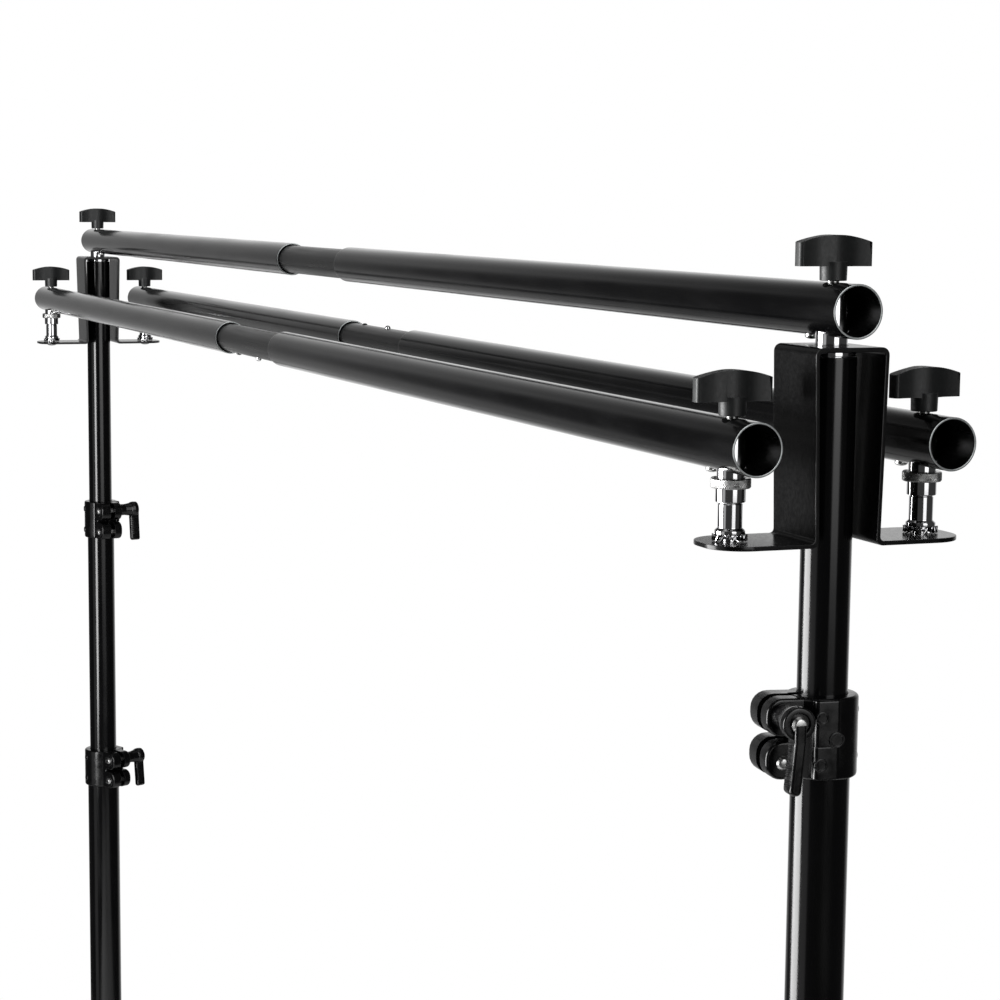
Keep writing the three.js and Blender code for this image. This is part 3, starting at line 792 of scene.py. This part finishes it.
def ring_mesh():
    """Knurled ring round the foot of the stud's neck."""
    inside, shoulder, low, high = STUD["neck"] + 0.1, STUD["ring"] - 0.7, STUD_RING_Z, STUD_RING_Z + 6.5
    rows = 24
    face = [(STUD["ring"], low + 0.8 + 4.9 * k / rows) for k in range(rows + 1)]
    profile = [(inside, low), (shoulder, low), *face, (shoulder, high), (inside, high)]
    return finished(lathe(profile, 240, True, knurl), ZINC, smooth=25)


def star_washer():
    """Toothed lock washer: each tooth is twisted, with a gap between neighbours."""
    teeth, thick, rise, bore, root, tip = 18, 1.0, 1.6, 5.2, 8.6, 11.5
    tooth = ((0.0, root, 0), (0.12, tip, -1.5), (0.66, tip, 1.7), (0.78, root, 0))
    bm = bmesh.new()
    loops = {level: {"in": [], "out": []} for level in (0, 1)}
    for k in range(teeth):
        for part, radius, twist in tooth:
            turn = math.tau * (k + part) / teeth
            for level in (0, 1):
                z = rise + twist + level * thick
                spot = Vector((radius * math.cos(turn), radius * math.sin(turn), z)) * MM
                near = Vector((bore * math.cos(turn), bore * math.sin(turn), rise + level * thick)) * MM
                loops[level]["out"].append(bm.verts.new(spot))
                loops[level]["in"].append(bm.verts.new(near))
    count = len(tooth) * teeth
    for k in range(count):
        n = (k + 1) % count
        for level in (0, 1):
            ring = loops[level]
            bm.faces.new((ring["in"][k], ring["in"][n], ring["out"][n], ring["out"][k]))
        for edge in ("in", "out"):
            low, high = loops[0][edge], loops[1][edge]
            bm.faces.new((low[k], low[n], high[n], high[k]))
    bmesh.ops.recalc_face_normals(bm, faces=bm.faces)
    return bm


def heads():
    """On each stand the bracket and spigot, and two studs with their rings, washers and rivets."""
    coat, spigot, post, ring = bracket_mesh(), spigot_mesh(), stud_mesh(), ring_mesh()
    seat = at(0, 0, TAB_TOP + GAP)
    washer = finished(moved(star_washer(), seat), CHROME, smooth=20)
    tail = finished(lathe(dome(STUD["rivet"], 2.6, 0.5), 40), CHROME, smooth=50)
    for end, side in SIDES.items():
        head = f"{end}_head"
        place = at(side * STAND_X, 0, 0)
        piece(f"{end}_bracket_sheet", coat, place, head, "satin_black", f"{end}_bracket")
        piece(f"{end}_spigot_post", spigot, place, head, "chrome", f"{end}_spigot")
        for label in ("front", "rear"):
            y = BARS[label]["y"]
            spot = place @ at(0, y, 0)
            piece(f"{end}_{label}_stud_post", post, spot, head, "chrome", f"{end}_{label}_stud")
            piece(f"{end}_{label}_stud_ring", ring, spot, head, "chrome")
            piece(f"{end}_{label}_lock_washer", washer, spot, head, "chrome")
            below = (side * STAND_X, y, HAT_BOTTOM - 0.2)
            piece(f"{end}_{label}_rivet_head", tail, aim(below, (0, 0, -1), (1, 0, 0)), head, "chrome")


# ---- clamps and levers ----
def clamp_body(outer, half, ear_end):
    """Steps that add the ears and the stepped flat pad to the clamp's barrel."""
    ears = along_x(round_off([
        (0, -half + 1), (0, half - 1), (-ear_end, half, EAR_LOBE), (-ear_end, EAR_GAP, EAR_LOBE),
        (-outer - 1, EAR_GAP, 1.2), (-outer - 1, -EAR_GAP, 1.2), (-ear_end, -EAR_GAP, EAR_LOBE),
        (-ear_end, -half, EAR_LOBE)], 6), -FAR_SIDE, LEVER_SIDE, 1.8, 3)
    steps = [("UNION", ears)]
    front, back = -14, 4
    for low, high, proud in ((-half + 1, -4, 0.4), (-4.5, half - 1, 1.2)):
        face = outer + proud
        pad = round_off([(0, front, 0), (face, front, 3), (face, back, 3), (0, back, 0)], 4)
        steps.append(("UNION", prism(pad, low, high, 1)))
    return steps


def cast_boss(radius, proud):
    """Low round boss along Z with a rim and a sunken middle."""
    sunk = proud - 0.6
    return turned([(0, -3), (radius, -3), (radius, proud, 0.7), (radius - 1.3, proud, 0.4),
                   (radius - 1.6, sunk, 0.3), (0, sunk)], 40)


def clamp_details(outer, bolt_y):
    """Steps that add the bosses on the pad, the nubs round the back and the rims on the far ears."""
    steps = []
    for y, z, radius, proud in ((-9.5, 15, 4.6, 1.8), (-9.5, -16, 4.6, 1.0), (0.5, 0.5, 5.4, 2.2)):
        steps.append(("UNION", moved(cast_boss(radius, proud), aim((outer, y, z), (1, 0, 0)))))
    for turn in (90, 165):
        a = math.radians(turn)
        out = Vector((math.cos(a), math.sin(a), 0))
        for z in (-BOLT_RISE, BOLT_RISE):
            nub = turned([(0, 0), (4.2, 0), (4.2, 3.2, 1.5), (0, 3.2)], 24)
            steps.append(("UNION", moved(nub, aim(out * (outer - 2) + Vector((0, 0, z)), out))))
    for z in (-BOLT_RISE, BOLT_RISE):
        rim = turned([(0, 0), (8.2, 0), (8.2, 2.6, 0.8), (6.2, 2.6, 0.5), (5.8, 1.4), (0, 1.4)], 40)
        steps.append(("UNION", moved(rim, aim((-FAR_SIDE + 1, bolt_y, z), (-1, 0, 0)))))
        hole = rod(BOLT_HOLE, (-FAR_SIDE - PAST, bolt_y, z), (LEVER_SIDE + PAST, bolt_y, z), 24)
        steps.append(("DIFFERENCE", hole))
    return steps


def clamp_mesh(lower_radius, upper_radius):
    """Split casting: a shell with a flat pad, two pairs of ears towards -Y, and small cast bosses."""
    outer, half = lower_radius + SHELL, CLAMP_HEIGHT / 2
    ear_end, bolt_y = outer + EAR_REACH, -outer - BOLT_REACH
    bottom, top = -half - PAST, half + PAST
    barrel = turned([(0, -half), (outer, -half, 2.2), (outer, half, 2.2), (0, half)], 72, 3)
    steps = clamp_body(outer, half, ear_end)
    steps.append(("DIFFERENCE", block(-SLOT, SLOT, -ear_end - PAST, -1, bottom, top)))
    steps.append(("DIFFERENCE", rod(lower_radius + GAP, (0, 0, bottom), (0, 0, 0), 72)))
    steps.append(("DIFFERENCE", rod(upper_radius + GAP, (0, 0, -1), (0, 0, top), 72)))
    steps += clamp_details(outer, bolt_y)
    return finished(soften(combine(barrel, *steps), 0.45, 2, 50), CAST, smooth=35)


def lever_mesh(bolt_y):
    """Neck and round head on the clamp's near ear; the handle hangs from the head, with grip ribs."""
    y, pivot, bottom = bolt_y, BOLT_RISE, BOLT_RISE - LEVER_DROP
    half, wide_at, tilt = 4, 12, 3
    handle = along_x(round_off([
        (y - half, pivot + 5, 3), (y - half, pivot - wide_at, 8), (y - half - tilt, bottom, 3.4),
        (y + half - tilt, bottom, 3.4), (y + half, pivot - wide_at, 8), (y + half, pivot + 5, 3)], 5),
        LEVER_NEAR, LEVER_FAR, 2.2, 3)
    neck = turned([(0, 0), (8.5, 0, 0.6), (8.2, 8, 4), (9.6, 17), (0, 17)], 48)
    head = turned([(0, 0), (10.4, 0, 2.5), (11.2, 5, 1), (11.0, 10.5, 1.2), (7.4, 10.5, 0.6),
                   (6.8, 8.8), (0, 8.8)], 48)
    crop = block(LEVER_NEAR - PAST, LEVER_FAR + PAST, y - 20, y + 20, pivot, pivot + 20)
    steps = [("DIFFERENCE", crop),
             ("UNION", moved(neck, aim((LEVER_SIDE + GAP, y, pivot), (1, 0, 0)))),
             ("UNION", moved(head, aim((LEVER_NEAR, y, pivot), (1, 0, 0))))]
    ribs, pitch, slope, groove = 11, 2.7, 0.085, 0.95
    for k in range(ribs):
        z = pivot - 13 - pitch * k
        edge = y - 4.7 - slope * pitch * k
        start, stop = (LEVER_NEAR + 1.5, edge, z), (LEVER_FAR - 1, edge, z + 1.6)
        steps.append(("DIFFERENCE", rod(groove, start, stop, 12)))
    return finished(soften(combine(handle, *steps), 0.3, 2, 50), CAST, smooth=35)


def bolt_cap(radius, shoulder, skirt, rim, crown, root):
    """Domed bolt head along Z, sunk by root into the face that it sits on."""
    profile = [(0, -root), (radius, -root), (radius, skirt, rim), (shoulder, skirt + 2.1, crown),
               (0, skirt + 2.3)]
    return finished(turned(profile, 40), ZINC, smooth=50)


def clamps():
    """Two clamps on each stand: a casting with its fixed bolt, and a lever with its own bolt."""
    cap = bolt_cap(4.6, 3.2, 0.8, 0.5, 1.4, 2)
    lever_cap = bolt_cap(5.6, 4.0, 0.6, 0.6, 1.8, 3)
    for level, lower, upper in (("lower", "base", "mid"), ("upper", "mid", "top")):
        casting = clamp_mesh(TUBES[lower]["radius"], TUBES[upper]["radius"])
        y = -TUBES[lower]["radius"] - SHELL - BOLT_REACH
        lever = lever_mesh(y)
        shafts = [finished(rod(BOLT_RADIUS, (-FAR_SIDE - 1, 0, 0), (end, 0, 0)), ZINC)
                  for end in (LEVER_SIDE, HEAD_END - 3)]
        for end, side in SIDES.items():
            base = at(side * STAND_X, 0, CLAMP_Z[level][end]) @ spun(CLAMP_TURN[level][end])
            body, name = f"{end}_{lower}", f"{end}_{level}"
            piece(f"{name}_clamp_casting", casting, base, body, "cast_black", f"{name}_clamp")
            piece(f"{name}_lever_handle", lever, base, f"{name}_lever", "cast_black", f"{name}_lever")
            spots = ((f"{name}_clamp", -BOLT_RISE, body, shafts[0], cap, LEVER_SIDE),
                     (f"{name}_lever", BOLT_RISE, f"{name}_lever", shafts[1], lever_cap, HEAD_END))
            for label, z, rider, shaft, near, face in spots:
                axis = base @ at(0, y, z)
                far = axis @ aim((-FAR_SIDE - GAP, 0, 0), (-1, 0, 0))
                piece(f"{label}_bolt", shaft, axis, rider, "chrome")
                piece(f"{label}_bolt_cap", near, axis @ aim((face, 0, 0), (1, 0, 0)), rider, "chrome")
                piece(f"{label}_bolt_head", cap, far, rider, "chrome")


# ---- stand tubes and legs ----
def ring_with_ears(height, inside, turns):
    """Ring round the base tube with a pair of ears for each leg."""
    hole = 3.3
    ring = turned([(0, -height / 2), (COLLAR_RADIUS, -height / 2, 2), (COLLAR_RADIUS, height / 2, 2),
                   (0, height / 2)], 72)
    steps = []
    reach, corner = PIVOT + EAR_END, EAR_END - 0.1
    ear = round_off([(0, -EAR_END), (reach, -EAR_END, corner), (reach, EAR_END, corner), (0, EAR_END)], 8)
    root = COLLAR_RADIUS - 6
    ear = [p for p in ear if p.x > 1] + [Vector((root, EAR_END)), Vector((root, -EAR_END))]
    for turn in turns:
        for side in (-1, 1):
            near = side * inside / 2
            low, high = sorted((near, near + side * EAR_THICK))
            spin = spun(turn) @ Matrix.Rotation(math.pi / 2, 4, "X")
            steps.append(("UNION", moved(prism(ear, low, high, 0.7), spin)))
    bore = TUBES["base"]["radius"] + GAP
    steps.append(("DIFFERENCE", rod(bore, (0, 0, -height), (0, 0, height), 72)))
    for turn in turns:
        a = math.radians(turn)
        spot = Vector((math.cos(a), math.sin(a), 0)) * PIVOT
        across = Vector((-math.sin(a), math.cos(a), 0)) * 30
        steps.append(("DIFFERENCE", rod(hole, spot - across, spot + across, 24)))
    return finished(soften(combine(ring, *steps), 0.4, 2, 50), CAST, smooth=35)


def foot_mesh():
    """Ribbed rubber foot along Z down the leg, cut flat by the floor."""
    shoe, wide, steps = LEG_LENGTH - FOOT_LENGTH, FOOT_RADIUS, 10
    inside, groove, sink = LEG_RADIUS + 0.1, FOOT_RADIUS - 0.9, 21
    angles = [math.pi / 2 * k / steps for k in range(steps)]
    toe = [(wide * math.cos(a), LEG_LENGTH + wide * math.sin(a)) for a in angles]
    ribs = []
    for k in range(4):
        z = shoe + 8 + 7 * k
        ribs += [(wide, z), (groove, z + 0.8), (groove, z + 2.2), (wide, z + 3)]
    foot = lathe([(inside, shoe), (wide - 0.8, shoe), (wide, shoe + 0.8), *ribs, *toe,
                  (0, LEG_LENGTH + wide), (0, shoe + sink), (inside, shoe + sink)], 64, closed=True)
    floor_at = (COLLAR_Z / math.cos(LEAN)) * MM
    down = Vector((-math.sin(LEAN), 0, math.cos(LEAN)))
    cut = bmesh.ops.bisect_plane(foot, geom=foot.verts[:] + foot.edges[:] + foot.faces[:],
                                 plane_co=(0, 0, floor_at), plane_no=down, clear_outer=True)
    rim = [e for e in cut["geom_cut"] if isinstance(e, bmesh.types.BMEdge)]
    bmesh.ops.contextual_create(foot, geom=rim)
    return finished(foot, RUBBER, smooth=40)


def leg_mesh():
    """Along Z down the leg from its pivot, with a round top end."""
    steps, end = 8, LEG_LENGTH - FOOT_LENGTH + 20
    angles = [math.pi / 2 * k / steps for k in range(steps + 1)]
    head = [(LEG_RADIUS * math.sin(a), -LEG_RADIUS * math.cos(a)) for a in angles]
    return finished(lathe([*head, (LEG_RADIUS, end), (0, end)], 64), PAINT)


def pivot_pin(half):
    """Rivet along Z whose two round heads clamp a stack of thickness 2 * half."""
    head = [(3, half), (5, half), (5, half + 0.7), (4.2, half + 1.6), (2.4, half + 2.2), (0, half + 2.4)]
    tail = [(r, -z) for r, z in reversed(head)]
    return finished(lathe(tail + head, 32), ZINC, smooth=50)


def brace_mesh():
    """Pressed channel along Z: two flanges and a web, open where it nests on the leg and the hub."""
    inside = CHANNEL_INSIDE / 2
    outside, web, lip, setback = inside + CHANNEL_SHEET, 12.7, 7, 20
    corner, lip_corner, waist, waist_end = 3, 6, 2.5, 45
    end = BRACE + lip
    flange = round_off([(-web, -lip, corner), (lip, -lip, lip_corner), (lip, end, lip_corner),
                        (-web, end, corner)], 6)
    steps = [("DIFFERENCE", block(-inside, inside, -web + CHANNEL_SHEET, web, -20, BRACE + 20))]
    for low, high in ((-20, setback), (BRACE - setback, BRACE + 20)):
        steps.append(("DIFFERENCE", block(-inside, inside, -web - PAST, 0, low, high)))
    for z in (0, BRACE):
        steps.append(("DIFFERENCE", rod(3.5, (-30, 0, z), (30, 0, z), 24)))
    relief = block(-outside - PAST, outside + PAST, waist, web, waist_end, BRACE - waist_end)
    steps.append(("DIFFERENCE", relief))
    bm = combine(along_x(flange, -outside, outside), *steps)
    return finished(soften(bm, 0.5, 2, 50), PAINT, smooth=35)


def collar_knob_meshes():
    """Lobed grip, screw and end cap along Z from the stand's axis."""
    lobes, reach, swell, points = 5, 12.2, 0.8, 80
    outline = []
    for k in range(points):
        turn = math.tau * k / points
        radius = reach + swell * math.cos(lobes * turn)
        outline.append(Vector((radius * math.cos(turn), radius * math.sin(turn))))
    grip = finished(prism(outline, COLLAR_KNOB_NEAR, COLLAR_KNOB_FAR, 2.2, 4), PLASTIC, smooth=45)
    screw = finished(rod(BOLT_RADIUS, (0, 0, COLLAR_RADIUS - 1.5), (0, 0, COLLAR_KNOB_NEAR + 1)), ZINC)
    cap = finished(turned([(0, 0), (6.5, 0), (6.5, 0.6, 0.3), (0, 0.9)], 40), ZINC)
    return grip, screw, cap


def tube_stack(end, place, base_tube, top_tube, plug):
    """The three sliding tubes of one stand, and the plug in its foot."""
    base, mid, clamp_z = TUBES["base"], TUBES["mid"], CLAMP_Z["upper"][end]
    mid_tube = plain_tube(mid["radius"], mid["wall"], clamp_z - mid["length"], clamp_z - GAP)
    shells = (("base", base_tube, "base"), ("mid", mid_tube, "mid"), ("top", top_tube, "head"))
    for label, tube, body in shells:
        name = f"{end}_{label}_tube"
        piece(f"{name}_shell", tube, place, f"{end}_{body}", "gloss_black", name)
    lift = at(0, 0, base["low"] - 2.6)
    piece(f"{end}_base_plug", plug, place @ lift, f"{end}_base", "rubber")


def collar_and_hub(end, side, place, turns, knob):
    """The sliding collar with its lock knob, and the lower hub."""
    hub_inside = CHANNEL_INSIDE + 2 * CHANNEL_SHEET + 1
    collar = ring_with_ears(COLLAR_HEIGHT, CHANNEL_INSIDE, turns)
    hub = ring_with_ears(HUB_RING_HEIGHT, hub_inside, turns)
    high = place @ at(0, 0, COLLAR_Z)
    low = place @ at(0, 0, HUB_Z)
    piece(f"{end}_leg_collar_casting", collar, high, f"{end}_collar", "cast_black", f"{end}_leg_collar")
    piece(f"{end}_lower_hub_casting", hub, low, f"{end}_base", "cast_black", f"{end}_lower_hub")
    grip, screw, cap = knob
    turn = math.radians(-60 if side > 0 else -120)
    axis = high @ aim((0, 0, 0), (math.cos(turn), math.sin(turn), 0))
    seat = axis @ at(0, 0, COLLAR_KNOB_FAR - 0.2)
    body = f"{end}_collar_knob"
    piece(f"{body}_grip", grip, axis, body, "knob_plastic", body)
    piece(f"{body}_screw", screw, axis, body, "chrome")
    piece(f"{body}_cap", cap, seat, body, "chrome")


def stands():
    """Both tripods: the sliding tubes, collar and hub, and three legs with their braces and pins."""
    base, top = TUBES["base"], TUBES["top"]
    base_tube = plain_tube(base["radius"], base["wall"], base["low"], base["high"])
    top_tube = plain_tube(top["radius"], top["wall"], top["low"], top["high"])
    leg, foot, brace = leg_mesh(), foot_mesh(), brace_mesh()
    knob = collar_knob_meshes()
    stack = CHANNEL_INSIDE / 2
    pins = {"pivot_pin": (pivot_pin(stack + EAR_THICK + 0.2), 0),
            "brace_pin": (pivot_pin(stack + CHANNEL_SHEET + 0.2), BRACE)}
    hub_pin = pivot_pin(stack + CHANNEL_SHEET + EAR_THICK + 0.7)
    plug = finished(turned([(0, 0), (22.6, 0, 2), (22.6, 3), (21.2, 3), (21.2, 14, 1), (0, 14)], 64), RUBBER)
    down = Vector((math.sin(LEAN), 0, -math.cos(LEAN)))
    rise = Vector((math.sin(LEAN), 0, math.cos(LEAN)))
    for end, side in SIDES.items():
        facing = 0 if side > 0 else 180
        turns = [facing, facing + 120, facing + 240]
        place = at(side * STAND_X, 0, 0)
        tube_stack(end, place, base_tube, top_tube, plug)
        collar_and_hub(end, side, place, turns, knob)
        for n, turn in enumerate(turns, 1):
            spoke = place @ spun(turn)
            pivot = Vector((PIVOT, 0, COLLAR_Z))
            body, strut_body = f"{end}_leg_{n}", f"{end}_brace_{n}"
            piece(f"{body}_tube", leg, spoke @ aim(pivot, down, (0, 1, 0)), body, "gloss_black", body)
            level = (math.cos(LEAN), 0, math.sin(LEAN))
            piece(f"{body}_foot", foot, spoke @ aim(pivot, down, level), body, "rubber")
            for label, (pin, reach) in pins.items():
                spot = spoke @ aim(pivot + reach * down, (0, 1, 0))
                piece(f"{body}_{label}", pin, spot, body, "chrome")
            strut = spoke @ at(PIVOT, 0, HUB_Z)
            strut = strut @ Matrix(((0, -1, 0), (rise.z, 0, -rise.x), rise)).transposed().to_4x4()
            piece(f"{strut_body}_channel", brace, strut, strut_body, "gloss_black", strut_body)
            piece(f"{end}_hub_pin_{n}", hub_pin, spoke @ aim((PIVOT, 0, HUB_Z), (0, 1, 0)),
                  f"{end}_base", "chrome")


camera()
studio()
crossbars()
heads()
clamps()
stands()
